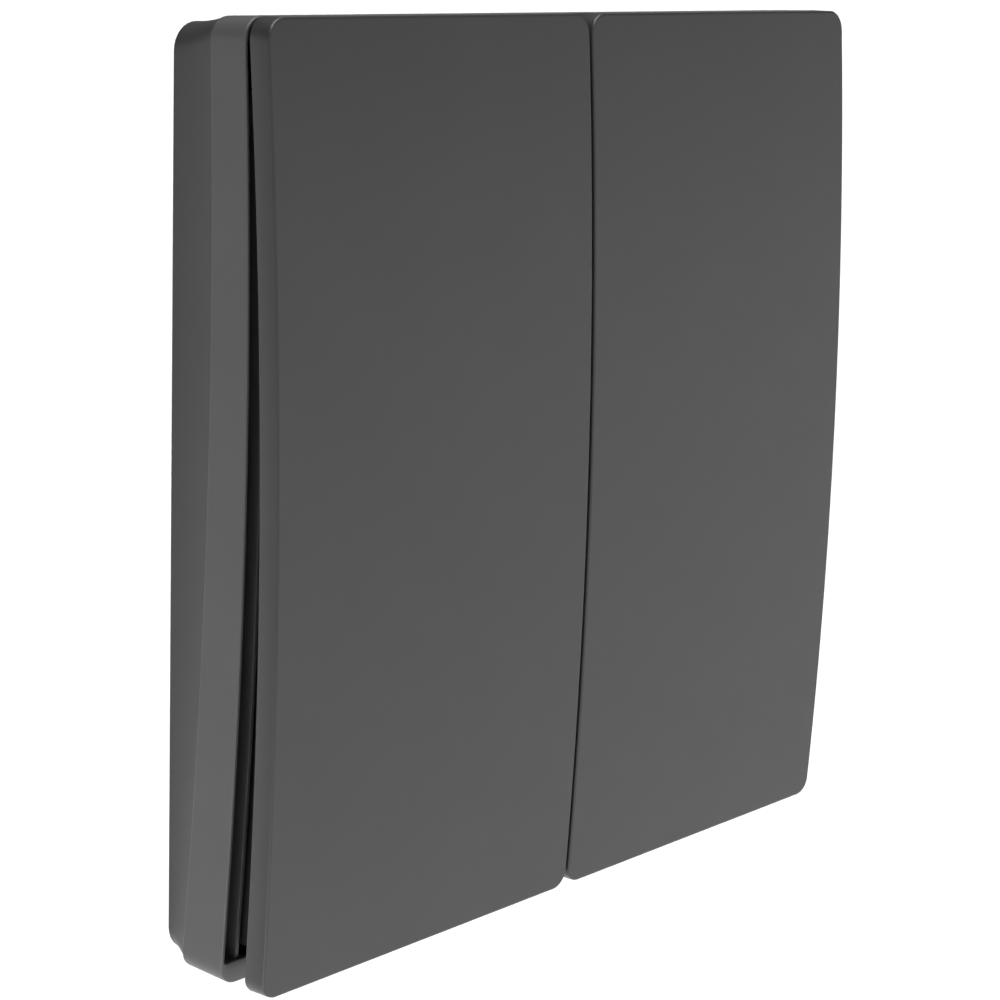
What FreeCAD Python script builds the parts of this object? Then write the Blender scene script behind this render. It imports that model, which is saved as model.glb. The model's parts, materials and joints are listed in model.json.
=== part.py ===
import FreeCAD, Part
from math import sin, tan
import os
import re
import Sketcher

# Two-gang rocker wall switch with a self-powered radio inside.
# X runs to the right, Y into the wall and Z up. The origin is the middle of the face that
# lies on the wall. A "depth" is the distance out from the wall, so depth = -Y.

DIMENSIONS = [
    # the front outline
    ("face_half", 43.0, "half of the 86 mm front"),
    ("corner_round", 2.0, "corner radius of the front frame and the rockers"),
    ("gang_gap", 0.4, "slit between the two rockers"),
    # bowed faces: radius, depth at the crown, height of the crown
    ("shell_bow", 598.0, "front edge of the shell"),
    ("shell_crown", 10.21, ""),
    ("shell_rise", 12.45, ""),
    ("fold_bow", 595.6, "fold between the shell's cove and its side band"),
    ("fold_crown", 5.62, ""),
    ("fold_rise", 19.7, ""),
    ("back_bow", 567.3, "back edge of a rocker at rest"),
    ("back_crown", 11.98, ""),
    ("back_rise", -5.15, ""),
    ("front_bow", 596.2, "front face of a rocker at rest"),
    ("front_crown", 14.25, ""),
    ("front_rise", -6.2, ""),
    # shell
    ("draft_back_half", 42.6, "side band carried back to the wall plane"),
    ("draft_depth", 10.6, "depth at which the draft reaches the full width"),
    ("frame_low", 0.3, "the front frame reaches this much lower than the rockers"),
    ("wall_half", 42.1, "outline at the wall"),
    ("wall_round", 2.1, "corner radius at the wall"),
    ("neck_depth", 5.8, "front edge of the back housing, inside the front frame"),
    ("skirt_gap", 0.05, "between the back housing and the front frame"),
    ("lip", 0.33, "thin outer lip at the front"),
    ("ledge_drop", 1.4, "ledge behind the lip"),
    ("bore_half", 41.3, "inside of the shell"),
    ("sill", 2.0, "wide bottom edge of the shell"),
    ("flange_low", 1.4, "inner flange that carries the chassis"),
    ("flange_top", 2.4, ""),
    ("flange_half", 38.3, "opening inside the flange"),
    ("corner_block", 30.0, "corner blocks start here"),
    ("block_low", 0.3, "back face of the corner blocks"),
    # wall plate
    ("plate_thick", 1.3, ""),
    ("plate_half", 40.7, ""),
    ("plate_arm", 29.7, "half width of the arms of the cross-shaped plate"),
    ("plate_opening", 40.9, "opening in the shell for the plate"),
    ("screw_pitch", 60.0, "wall screws"),
    ("slot_half_width", 2.1, ""),
    ("slot_length", 9.0, ""),
    ("pad_side", 16.0, "adhesive pads"),
    ("pad_thick", 0.6, ""),
    ("pad_place", 18.0, ""),
    ("hook_place", 20.0, "height of the plate's snap hooks"),
    ("hook_half", 3.0, ""),
    ("hook_root", 1.1, "hooks and toes are measured from the flange's inner edge"),
    ("hook_face", 0.2, ""),
    ("toe_root", 0.6, ""),
    ("toe_reach", 0.7, ""),
    ("toe_high", 0.8, ""),
    ("hook_play", 0.1, ""),
    ("hook_notch", 1.7, "notches in the chassis for the hooks"),
    # chassis
    ("floor_top", 3.4, "front face of the chassis floor"),
    ("chassis_half", 41.0, ""),
    ("rim_top", 4.6, ""),
    ("rim_wall", 0.9, ""),
    ("screen_outer", 40.8, "screens that close the gap beside the rockers"),
    ("screen_inner", 40.1, ""),
    ("screen_drop", 0.38, "from the frame's front edge to the screen's"),
    ("screen_fin", 40.45, "the screen's front part is thinner, from here to its outer face"),
    ("fin_high", 1.2, ""),
    ("screen_high", 36.5, ""),
    ("screw_place", 36.0, "chassis screws"),
    ("screw_tip", 0.5, ""),
    ("screw_radius", 0.95, ""),
    ("screw_hole", 1.0, ""),
    ("head_radius", 1.8, ""),
    ("head_thick", 1.0, ""),
    ("cross_half", 1.1, "cross-shaped recess in a screw's head"),
    ("cross_wide", 0.5, ""),
    ("boss_back", 1.5, "bosses behind the chassis floor for the generator screws"),
    ("boss_radius", 2.0, ""),
    ("portal_low", -40.1, "portals that keep the rockers' hooks"),
    ("portal_high", -38.2, ""),
    ("portal_half", 4.5, ""),
    ("portal_top", 8.5, ""),
    ("gate_half", 3.5, "opening inside a portal"),
    ("gate_top", 7.7, ""),
    ("post_radius", 1.6, "posts under the board, with a stake through it"),
    ("stake_radius", 0.7, ""),
    ("stake_tip", 7.5, ""),
    ("stake_inset", 2.4, ""),
    # rockers and their hinges
    ("gang_place", 21.6, "middle of each rocker"),
    ("hinge_depth", 7.2, ""),
    ("hinge_height", 39.3, ""),
    ("pin_radius", 0.9, ""),
    ("running_gap", 0.05, "radial clearance of a turning fit"),
    ("ear_half", 1.6, "half height of the hinge ears and knuckles"),
    ("ear_place", 16.4, ""),
    ("ear_wide", 2.0, ""),
    ("knuckle_place", 13.2, ""),
    ("knuckle_wide", 3.0, ""),
    ("pin_half_length", 17.6, ""),
    ("knuckle_root", 10.8, ""),
    ("lug_root", 12.05, "lugs on the back of a rocker end inside its panel"),
    ("panel_recess", 0.8, "hollow in the back of a rocker"),
    ("panel_border", 2.4, ""),
    ("recess_top", 36.0, ""),
    ("edge_round", 0.2, "rounded front edges of the rockers"),
    ("hook_across", 8.0, "retaining hooks, from the middle of the rocker"),
    ("pusher_height", -13.0, "rib that works the generator lever"),
    ("pusher_tip", 9.15, ""),
    ("pusher_half", 7.6, ""),
    ("leg_half", 2.5, "legs of the retaining hooks"),
    ("leg_tip", 6.3, ""),
    ("leg_toe_top", 7.4, ""),
    ("leg_toe_low", -38.9, ""),
    ("leg_low", -37.4, ""),
    ("leg_high", -36.2, ""),
    ("rib_across", 8.0, "stiffening ribs, from the middle of the rocker"),
    ("rib_half", 0.5, ""),
    ("rib_low", -21.0, ""),
    ("rib_high", 36.5, ""),
    ("rib_sunk", 0.1, ""),
    ("stop_across", 15.2, "rubber stops"),
    ("stop_height", -32.0, ""),
    ("stop_radius", 1.8, "posts of the stops"),
    ("pad_radius", 1.7, ""),
    ("stop_foot", 6.4, ""),
    ("stop_top", 9.6, ""),
    ("skirt_inner", 17.4, "side skirts of a rocker, from its middle"),
    ("skirt_outer", 18.2, ""),
    ("skirt_low", -40.0, ""),
    ("skirt_high", 12.0, ""),
    ("skirt_back", 6.2, ""),
    # keys on the board
    ("key_height", 28.0, ""),
    ("key_radius", 1.05, ""),
    ("key_foot", 7.9, ""),
    ("key_top", 9.5, ""),
    ("nib_tip", 9.7, "end of the rocker's nib over the key"),
    ("nib_radius", 1.2, ""),
    ("key_half", 2.3, ""),
    ("key_thick", 1.4, ""),
    ("key_cavity", 7.5, ""),
    # circuit board
    ("board_half", 37.8, ""),
    ("board_low", 14.6, ""),
    ("board_high", 33.6, ""),
    ("board_back", 6.0, ""),
    ("board_front", 7.0, ""),
    ("stake_across", 35.0, ""),
    ("can_half", 7.0, "radio shield"),
    ("can_low", 19.5, ""),
    ("can_high", 31.5, ""),
    ("can_thick", 1.8, ""),
    ("can_wall", 0.3, ""),
    ("chip_half", 2.5, ""),
    ("chip_place", 25.5, ""),
    ("chip_thick", 0.9, ""),
    ("small_part_low", 18.0, ""),
    ("capacitor_first", 10.5, ""),
    ("capacitor_second", 14.5, ""),
    ("capacitor_half", 1.4, ""),
    ("capacitor_high", 21.5, ""),
    ("capacitor_thick", 1.9, ""),
    ("diode_first", 27.5, ""),
    ("diode_second", 30.5, ""),
    ("diode_half", 0.8, ""),
    ("diode_high", 20.6, ""),
    ("diode_thick", 1.0, ""),
    ("trace_left", 8.5, "antenna strip"),
    ("trace_step", 2.4, ""),
    ("trace_wide", 0.8, ""),
    ("trace_low", 25.4, ""),
    ("trace_high", 31.0, ""),
    ("trace_thick", 0.4, ""),
    # generators
    ("pivot_depth", 6.9, "pin of the lever and the core"),
    ("pivot_height", 7.5, ""),
    ("pivot_radius", 0.6, ""),
    ("case_half", 9.0, ""),
    ("case_low", -10.6, ""),
    ("case_high", 10.4, ""),
    ("case_wall", 0.8, ""),
    ("case_floor", 4.0, ""),
    ("case_top", 8.4, ""),
    ("window_half", 2.8, "window for the core"),
    ("window_back", 5.2, ""),
    ("window_front", 7.9, ""),
    ("tab_inner", 5.0, "screwed tabs of the case"),
    ("tab_high", 14.0, ""),
    ("tab_thick", 1.0, ""),
    ("tab_screw_across", 7.0, ""),
    ("tab_screw_height", 12.2, ""),
    ("tab_hole", 1.1, ""),
    ("arm_inner", 9.3, "lever arms"),
    ("arm_outer", 10.5, ""),
    ("bar_low", -14.5, "cross-bar of the lever"),
    ("bar_high", -11.6, ""),
    ("bar_back", 5.2, ""),
    ("bar_front", 9.0, ""),
    ("arm_thick", 2.0, ""),
    ("lever_eye", 1.7, ""),
    ("slot_half", 2.5, "slot in the cross-bar for the core's tip"),
    ("slot_back", 6.25, ""),
    ("slot_front", 8.1, ""),
    ("pivot_half_length", 10.9, ""),
    ("core_half", 2.0, ""),
    ("core_back", 6.4, ""),
    ("core_front", 7.4, ""),
    ("core_tip", -12.9, ""),
    ("core_eye", 1.15, ""),
    ("coil_half", 4.8, "half length of the bobbin"),
    ("tube_half", 2.7, "tube of the bobbin"),
    ("tube_back", 5.1, ""),
    ("tube_front", 8.0, ""),
    ("tube_wall", 0.4, ""),
    ("cheek_half", 3.8, ""),
    ("cheek_front", 8.9, ""),
    ("cheek_thick", 0.7, ""),
    ("wire_half", 3.5, "outside of the winding"),
    ("wire_back", 4.35, ""),
    ("wire_front", 8.75, ""),
    ("wire_round", 1.2, ""),
    ("lead_across", 3.2, "strips from the coil to the board"),
    ("lead_wide", 0.7, ""),
    ("lead_back", 7.6, ""),
    ("lead_front", 8.0, ""),
    ("lead_foot", 15.2, ""),
    ("lead_high", 16.6, ""),
    ("lead_slot", 7.4, "slots in the case for the strips"),
    ("lead_inner", 2.7, ""),
    ("lead_outer", 3.7, ""),
    ("magnet_inner", 3.2, ""),
    ("magnet_outer", 6.4, ""),
    ("plate_reach", 7.0, "half width of the pole plates"),
    ("support_inner", 4.5, ""),
    ("pole_low", -9.2, ""),
    ("pole_high", -5.6, ""),
    ("pole_back", 4.8, ""),
    ("pole_front", 8.1, ""),
    ("pole_thick", 0.6, ""),
    # return springs
    ("leaf_thick", 0.3, ""),
    ("leaf_wide", 6.0, ""),
    ("leaf_foot", -31.0, "free end of the foot"),
    ("leaf_fold", -20.5, ""),
    ("leaf_rise", 3.0, ""),
    ("leaf_arm_depth", 11.8, ""),
    ("leaf_arm_height", -32.5, ""),
    ("leaf_tip_depth", 10.6, ""),
    ("leaf_tip_height", -33.4, ""),
    ("leaf_bend", 1.4, ""),
    ("leaf_curl", 0.6, ""),
]

DOC = FreeCAD.newDocument("RockerWallSwitch")
SHEET = DOC.addObject("Spreadsheet::Sheet", "Dims")
SUBPARTS = []


def fill_sheet():
    for row, (alias, number, note) in enumerate(DIMENSIONS, start=1):
        SHEET.set(f"A{row}", note or alias)
        SHEET.set(f"B{row}", str(number))
        SHEET.setAlias(f"B{row}", alias)
    DOC.recompute()


# ---- links to the sheet ----


def sheet_words(text):
    """Turns a formula of bare dimension names into one that points at the sheet."""
    return re.sub(r"[a-z][a-z_]*", lambda word: "Dims." + word.group(0), str(text))


def bind(thing, prop, text):
    thing.setExpression(prop, sheet_words(text))


def value(text):
    number = SHEET.evalExpression(sheet_words(text))
    return float(getattr(number, "Value", number))


def keep(solid, label, gang=0):
    """Makes a solid one of the switch's sub-parts; gang -1 or 1 shifts it to its rocker's middle."""
    solid.Label = label
    if gang:
        bind(solid, "Placement.Base.x", f"{gang} * gang_place")
    SUBPARTS.append(solid)
    return solid


# ---- Part primitives and booleans ----


def block(across, depth, up):
    """A box between two places across, two depths and two heights."""
    solid = DOC.addObject("Part::Box", "Block")
    bind(solid, "Length", f"({across[1]}) - ({across[0]})")
    bind(solid, "Width", f"({depth[1]}) - ({depth[0]})")
    bind(solid, "Height", f"({up[1]}) - ({up[0]})")
    bind(solid, "Placement.Base.x", across[0])
    bind(solid, "Placement.Base.y", f"-({depth[1]})")
    bind(solid, "Placement.Base.z", up[0])
    return solid


def rod_across(radius, across, depth, height):
    """A round rod along X."""
    solid = DOC.addObject("Part::Cylinder", "Rod")
    turn = FreeCAD.Rotation(FreeCAD.Vector(0, 1, 0), 90)
    solid.Placement = FreeCAD.Placement(FreeCAD.Vector(), turn)
    bind(solid, "Radius", radius)
    bind(solid, "Height", f"({across[1]}) - ({across[0]})")
    bind(solid, "Placement.Base.x", across[0])
    bind(solid, "Placement.Base.y", f"-({depth})")
    bind(solid, "Placement.Base.z", height)
    return solid


def rod_outward(radius, across, depth, height):
    """A round rod that points out of the wall."""
    solid = DOC.addObject("Part::Cylinder", "Rod")
    turn = FreeCAD.Rotation(FreeCAD.Vector(1, 0, 0), 90)
    solid.Placement = FreeCAD.Placement(FreeCAD.Vector(), turn)
    bind(solid, "Radius", radius)
    bind(solid, "Height", f"({depth[1]}) - ({depth[0]})")
    bind(solid, "Placement.Base.x", across)
    bind(solid, "Placement.Base.y", f"-({depth[0]})")
    bind(solid, "Placement.Base.z", height)
    return solid


def behind_bow(radius, crown, rise):
    """Everything behind a bowed face, as a very large cylinder along X."""
    return rod_across(radius, ("-2 * face_half", "2 * face_half"), f"({crown}) - ({radius})", rise)


def cut(base, *tools):
    result = DOC.addObject("Part::Cut", "Cut")
    result.Base = base
    result.Tool = tools[0] if len(tools) == 1 else fuse(*tools)
    return result


def fuse(*solids):
    result = DOC.addObject("Part::MultiFuse", "Fuse")
    result.Shapes = list(solids)
    return result


def common(*solids):
    result = DOC.addObject("Part::MultiCommon", "Common")
    result.Shapes = list(solids)
    return result


def group(*solids):
    result = DOC.addObject("Part::Compound", "Group")
    result.Links = list(solids)
    return result


def rounded(base, radius, picked):
    """Rounds the edges for which picked(edge) is true."""
    DOC.recompute()
    result = DOC.addObject("Part::Fillet", "Rounded")
    result.Base = base
    size = value(radius)
    edges = enumerate(base.Shape.Edges, start=1)
    result.Edges = [(number, size, size) for number, edge in edges if picked(edge)]
    return result


def runs_outward(edge):
    """True for an edge whose ends differ mostly in depth."""
    start, end = edge.Vertexes[0].Point, edge.Vertexes[-1].Point
    rise = abs(end.y - start.y)
    return rise > 4 * max(abs(end.x - start.x), abs(end.z - start.z)) and rise > 0.1


# ---- PartDesign bodies ----


def new_body(name):
    return DOC.addObject("PartDesign::Body", name)


def origin_plane(body, role):
    return next(plane for plane in body.Origin.OriginFeatures if plane.Role == role)


def new_sketch(body, role, offset):
    sketch = body.newObject("Sketcher::SketchObject", "Sketch")
    sketch.AttachmentSupport = [(origin_plane(body, role), "")]
    sketch.MapMode = "FlatFace"
    bind(sketch, "AttachmentOffset.Base.z", offset)
    return sketch


def fix(sketch, *constraint, size):
    """Adds one dimension to a sketch and ties it to the sheet."""
    index = sketch.addConstraint(Sketcher.Constraint(*constraint, value(size)))
    sketch.setExpression(f"Constraints[{index}]", sheet_words(size))


def draw_rectangle(sketch, across, up):
    left, right = value(across[0]), value(across[1])
    low, high = value(up[0]), value(up[1])
    corners = [(left, low), (right, low), (right, high), (left, high)]
    points = [FreeCAD.Vector(x, y, 0) for x, y in corners]
    first = sketch.GeometryCount
    for side in range(4):
        sketch.addGeometry(Part.LineSegment(points[side], points[(side + 1) % 4]), False)
    for side in range(4):
        after = first + (side + 1) % 4
        sketch.addConstraint(Sketcher.Constraint("Coincident", first + side, 2, after, 1))
    for side in (0, 2):
        sketch.addConstraint(Sketcher.Constraint("Horizontal", first + side))
        sketch.addConstraint(Sketcher.Constraint("Vertical", first + side + 1))
    fix(sketch, "DistanceX", first, 1, first, 2, size=f"({across[1]}) - ({across[0]})")
    fix(sketch, "DistanceY", first + 1, 1, first + 1, 2, size=f"({up[1]}) - ({up[0]})")
    fix(sketch, "DistanceX", -1, 1, first, 1, size=across[0])
    fix(sketch, "DistanceY", -1, 1, first, 1, size=up[0])


def draw_circle(sketch, across, up, radius):
    centre = FreeCAD.Vector(value(across), value(up), 0)
    number = sketch.GeometryCount
    sketch.addGeometry(Part.Circle(centre, FreeCAD.Vector(0, 0, 1), value(radius)), False)
    fix(sketch, "Radius", number, size=radius)
    fix(sketch, "DistanceX", -1, 1, number, 3, size=across)
    fix(sketch, "DistanceY", -1, 1, number, 3, size=up)


def draw_slot(sketch, across, up, length, half_width):
    """A slot along X with round ends."""
    middle, height, radius = value(across), value(up), value(half_width)
    reach = value(length) / 2 - radius
    axis = FreeCAD.Vector(0, 0, 1)
    left, right = FreeCAD.Vector(middle - reach, height, 0), FreeCAD.Vector(middle + reach, height, 0)
    up_step = FreeCAD.Vector(0, radius, 0)
    first = sketch.GeometryCount
    quarter = 1.5707963267948966
    sketch.addGeometry(Part.LineSegment(left - up_step, right - up_step), False)
    sketch.addGeometry(Part.ArcOfCircle(Part.Circle(right, axis, radius), -quarter, quarter), False)
    sketch.addGeometry(Part.LineSegment(right + up_step, left + up_step), False)
    sketch.addGeometry(Part.ArcOfCircle(Part.Circle(left, axis, radius), quarter, 3 * quarter), False)
    for line, line_end, arc, arc_end in ((0, 2, 1, 1), (2, 1, 1, 2), (2, 2, 3, 1), (0, 1, 3, 2)):
        joint = (first + line, line_end, first + arc, arc_end)
        sketch.addConstraint(Sketcher.Constraint("Tangent", *joint))
    sketch.addConstraint(Sketcher.Constraint("Horizontal", first))
    fix(sketch, "Radius", first + 1, size=half_width)
    fix(sketch, "DistanceX", first + 3, 3, first + 1, 3, size=f"{length} - 2 * ({half_width})")
    fix(sketch, "DistanceX", -1, 1, first + 3, 3, size=f"({across}) - {length} / 2 + {half_width}")
    fix(sketch, "DistanceY", -1, 1, first + 3, 3, size=up)


def layer(body, kind, depth, rectangles=(), circles=(), slots=()):
    """Pads or pockets an outline parallel to the wall between two depths."""
    adding = kind == "Pad"
    sketch = new_sketch(body, "XZ_Plane", depth[0] if adding else depth[1])
    for across, up in rectangles:
        draw_rectangle(sketch, across, up)
    for circle in circles:
        draw_circle(sketch, *circle)
    for slot in slots:
        draw_slot(sketch, *slot)
    feature = body.newObject(f"PartDesign::{kind}", kind)
    feature.Profile = sketch
    bind(feature, "Length", f"({depth[1]}) - ({depth[0]})")
    return feature


def crosswise(body, kind, across, circles=(), rectangles=()):
    """Pads or pockets an outline seen from the side between two places across."""
    adding = kind == "Pad"
    sketch = new_sketch(body, "YZ_Plane", across[0] if adding else across[1])
    for depth, height, radius in circles:
        draw_circle(sketch, f"-({depth})", height, radius)
    for depth, up in rectangles:
        draw_rectangle(sketch, (f"-({depth[1]})", f"-({depth[0]})"), up)
    feature = body.newObject(f"PartDesign::{kind}", kind)
    feature.Profile = sketch
    bind(feature, "Length", f"({across[1]}) - ({across[0]})")
    return feature


def both_sides(rectangle):
    """A rectangle and its mirror image across the middle."""
    (near, far), up = rectangle
    return [((near, far), up), ((f"-({far})", f"-({near})"), up)]


def spread(half):
    return (f"-({half})", half)


# ---- shell and wall plate ----


def make_draft(inset):
    """A rounded block that opens slightly towards the front, set in from the side band."""
    front_half = f"face_half - {inset}"
    back_half = f"draft_back_half - {inset}"
    draft = DOC.addObject("Part::Wedge", "Draft")
    for prop, text in (
        ("Xmin", f"-({front_half})"), ("Xmax", front_half),
        ("Zmin", f"-({front_half} + frame_low)"), ("Zmax", front_half),
        ("Ymin", "-draft_depth"), ("Ymax", "0"),
        ("X2min", f"-({back_half})"), ("X2max", back_half),
        ("Z2min", f"-({back_half} + frame_low)"), ("Z2max", back_half),
    ):
        bind(draft, prop, text)
    return rounded(draft, f"corner_round - {inset}", runs_outward)


def make_front_frame():
    """The ring that shows around the rockers; its skirt slips over the back housing."""
    band = make_draft("0")
    front = behind_bow("shell_bow", "shell_crown", "shell_rise")
    fold = behind_bow("fold_bow", "fold_crown", "fold_rise")
    ring = cut(common(band, front), fold)

    bore_low = "sill - face_half"
    deep = "2 * draft_depth"
    bore = block(spread("bore_half"), ("neck_depth", deep), (bore_low, "bore_half"))
    neck_room = block(spread("wall_half + skirt_gap"), ("-1", "neck_depth"), spread("wall_half + skirt_gap"))
    neck_room = rounded(neck_room, "wall_round + skirt_gap", runs_outward)
    above_sill = block(spread("face_half"), ("neck_depth", deep), (bore_low, "face_half"))
    ledge_room = common(make_draft("lip"), above_sill)
    ledge = cut(ledge_room, behind_bow("shell_bow", "shell_crown - ledge_drop", "shell_rise"))
    keep(cut(ring, bore, neck_room, ledge), "front_frame")


def make_back_housing():
    """The open box against the wall, with a flange for the chassis and four corner blocks."""
    neck_top = "neck_depth - skirt_gap"
    neck = block(spread("wall_half"), ("0", neck_top), spread("wall_half"))
    neck = rounded(neck, "wall_round", runs_outward)
    bore = block(spread("bore_half"), ("flange_top", "2 * draft_depth"), ("sill - face_half", "bore_half"))
    plate_rooms = [
        block(spread("plate_opening"), ("-1", "flange_low"), spread("corner_block")),
        block(spread("corner_block"), ("-1", "flange_low"), spread("plate_opening")),
        block(spread("plate_opening"), ("-1", "block_low"), spread("plate_opening")),
    ]
    flange_rooms = [
        block(spread("flange_half"), ("0", "neck_depth"), spread("corner_block")),
        block(spread("corner_block"), ("0", "neck_depth"), spread("flange_half")),
    ]
    holes = [
        rod_outward("screw_hole", f"{x} * screw_place", ("-1", "neck_depth"), f"{z} * screw_place")
        for x in (-1, 1)
        for z in (-1, 1)
    ]
    keep(cut(neck, bore, *plate_rooms, *flange_rooms, *holes), "back_housing")


def make_wall_plate():
    plate = new_body("WallPlate")
    whole = ("0", "plate_thick")
    layer(plate, "Pad", whole, [(spread("plate_half"), spread("plate_arm"))])
    layer(plate, "Pad", whole, [(spread("plate_arm"), spread("plate_half"))])
    hooks = []
    toes = []
    for height in ("hook_place", "-hook_place"):
        up = (f"{height} - hook_half", f"{height} + hook_half")
        hooks += both_sides((("flange_half - hook_root", "flange_half - hook_face"), up))
        toes += both_sides((("flange_half - toe_root", "flange_half + toe_reach"), up))
    layer(plate, "Pad", ("plate_thick", "flange_top + toe_high"), hooks)
    layer(plate, "Pad", ("flange_top + hook_play", "flange_top + toe_high"), toes)
    half_pitch = "screw_pitch / 2"
    slots = [(f"{side} * {half_pitch}", "0", "slot_length", "slot_half_width") for side in (-1, 1)]
    rounds = [("0", f"{side} * {half_pitch}", "slot_half_width") for side in (-1, 1)]
    layer(plate, "Pocket", whole, circles=rounds, slots=slots)
    layer(plate, "Pocket", ("0", "pad_thick"), pad_places())
    keep(plate, "wall_plate")


def pad_places():
    half = "pad_side / 2"
    return [
        (
            (f"{x} * pad_place - {half}", f"{x} * pad_place + {half}"),
            (f"{z} * pad_place - {half}", f"{z} * pad_place + {half}"),
        )
        for x in (-1, 1)
        for z in (-1, 1)
    ]


def make_adhesive_pads():
    pads = [block(across, ("0", "pad_thick"), up) for across, up in pad_places()]
    keep(group(*pads), "adhesive_pads")


# ---- chassis ----


def gang_rectangle(gang, across, up):
    middle = f"{gang} * gang_place"
    return ((f"{middle} + ({across[0]})", f"{middle} + ({across[1]})"), up)


def make_chassis():
    chassis = new_body("Chassis")
    whole = spread("chassis_half")
    inner = spread("chassis_half - rim_wall")
    layer(chassis, "Pad", ("flange_top", "floor_top"), [(whole, whole)])
    layer(chassis, "Pad", ("floor_top", "rim_top"), [(whole, whole), (inner, inner)])

    notches = []
    for height in ("hook_place", "-hook_place"):
        up = (f"{height} - hook_half - 1", f"{height} + hook_half + 1")
        notches += both_sides((("flange_half - hook_notch", "chassis_half + 1"), up))
    layer(chassis, "Pocket", ("flange_top", "rim_top"), notches)

    # three ears for each hinge pin
    ear_up = ("hinge_height - ear_half", "hinge_height + ear_half")
    ears = []
    for gang in (-1, 1):
        for step in (-1, 0, 1):
            across = (f"{step} * ear_place - ear_wide / 2", f"{step} * ear_place + ear_wide / 2")
            ears.append(gang_rectangle(gang, across, ear_up))
    layer(chassis, "Pad", ("floor_top", "hinge_depth + ear_half"), ears)
    crosswise(chassis, "Pocket", spread("chassis_half"), [("hinge_depth", "hinge_height", "pin_radius")])

    # portals that the rockers' hooks catch in
    portal_up = ("portal_low", "portal_high")
    portals = []
    gates = []
    for gang in (-1, 1):
        for step in (-1, 1):
            middle = f"{step} * hook_across"
            outside = (f"{middle} - portal_half", f"{middle} + portal_half")
            opening = (f"{middle} - gate_half", f"{middle} + gate_half")
            portals.append(gang_rectangle(gang, outside, portal_up))
            gates.append(gang_rectangle(gang, opening, portal_up))
    layer(chassis, "Pad", ("floor_top", "portal_top"), portals)
    layer(chassis, "Pocket", ("floor_top", "gate_top"), gates)

    # posts for the stops and the board, with a stake that goes through the board
    stops = [
        (f"{gang} * gang_place + {step} * stop_across", "stop_height", "stop_radius")
        for gang in (-1, 1)
        for step in (-1, 1)
    ]
    layer(chassis, "Pad", ("floor_top", "stop_foot"), circles=stops)
    layer(chassis, "Pad", ("floor_top", "board_back"), circles=stakes("post_radius"))
    layer(chassis, "Pad", ("board_back", "stake_tip"), circles=stakes("stake_radius"))

    # holes for the four chassis screws, and bosses with holes for the generator screws
    corner_holes = [
        (f"{x} * screw_place", f"{z} * screw_place", "screw_hole") for x in (-1, 1) for z in (-1, 1)
    ]
    layer(chassis, "Pad", ("boss_back", "flange_top"), circles=case_screws("boss_radius"))
    holes = corner_holes + case_screws("screw_hole")
    layer(chassis, "Pocket", ("flange_top - 1", "floor_top"), circles=holes)
    keep(fuse(chassis, *make_screens()), "chassis")


def make_screens():
    """Walls along both sides of the chassis that follow the front frame's bow."""
    up = ("-chassis_half", "screen_high")
    depth = ("floor_top", "2 * front_crown")
    screens = []
    for inner, drop in (("screen_inner", "screen_drop + fin_high"), ("screen_fin", "screen_drop")):
        front = behind_bow("shell_bow", f"shell_crown - ({drop})", "shell_rise")
        for across, _ in both_sides(((inner, "screen_outer"), up)):
            screens.append(common(block(across, depth, up), front))
    return screens


def stakes(radius):
    return [
        (f"{side} * stake_across", height, radius)
        for side in (-1, 1)
        for height in ("board_low + stake_inset", "board_high - stake_inset")
    ]


def case_screws(radius):
    return [
        (f"{gang} * gang_place + {step} * tab_screw_across", "tab_screw_height", radius)
        for gang in (-1, 1)
        for step in (-1, 1)
    ]


def make_screw(across, height, tip, seat):
    """A pan-head screw with a cross-shaped recess."""
    shank = rod_outward("screw_radius", across, (tip, seat), height)
    head = rod_outward("head_radius", across, (seat, f"{seat} + head_thick"), height)
    recess_depth = (f"{seat} + head_thick / 2", f"{seat} + 2 * head_thick")
    bars = []
    for wide, tall in (("cross_half", "cross_wide / 2"), ("cross_wide / 2", "cross_half")):
        side = (f"({across}) - {wide}", f"({across}) + {wide}")
        bars.append(block(side, recess_depth, (f"({height}) - {tall}", f"({height}) + {tall}")))
    return cut(fuse(shank, head), *bars)


def make_screws():
    corners = [(f"{x} * screw_place", f"{z} * screw_place") for x in (-1, 1) for z in (-1, 1)]
    chassis_screws = [make_screw(x, z, "screw_tip", "floor_top") for x, z in corners]
    keep(group(*chassis_screws), "chassis_screws")
    tabs = [(across, height) for across, height, _ in case_screws("1")]
    case_set = [make_screw(x, z, "boss_back", "floor_top + tab_thick") for x, z in tabs]
    keep(group(*case_set), "generator_screws")


def make_stop_pads():
    stops = [
        rod_outward(
            "pad_radius",
            f"{gang} * gang_place + {step} * stop_across",
            ("stop_foot", "stop_top"),
            "stop_height",
        )
        for gang in (-1, 1)
        for step in (-1, 1)
    ]
    keep(group(*stops), "stop_pads")


# ---- rockers, pins and springs ----


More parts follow.
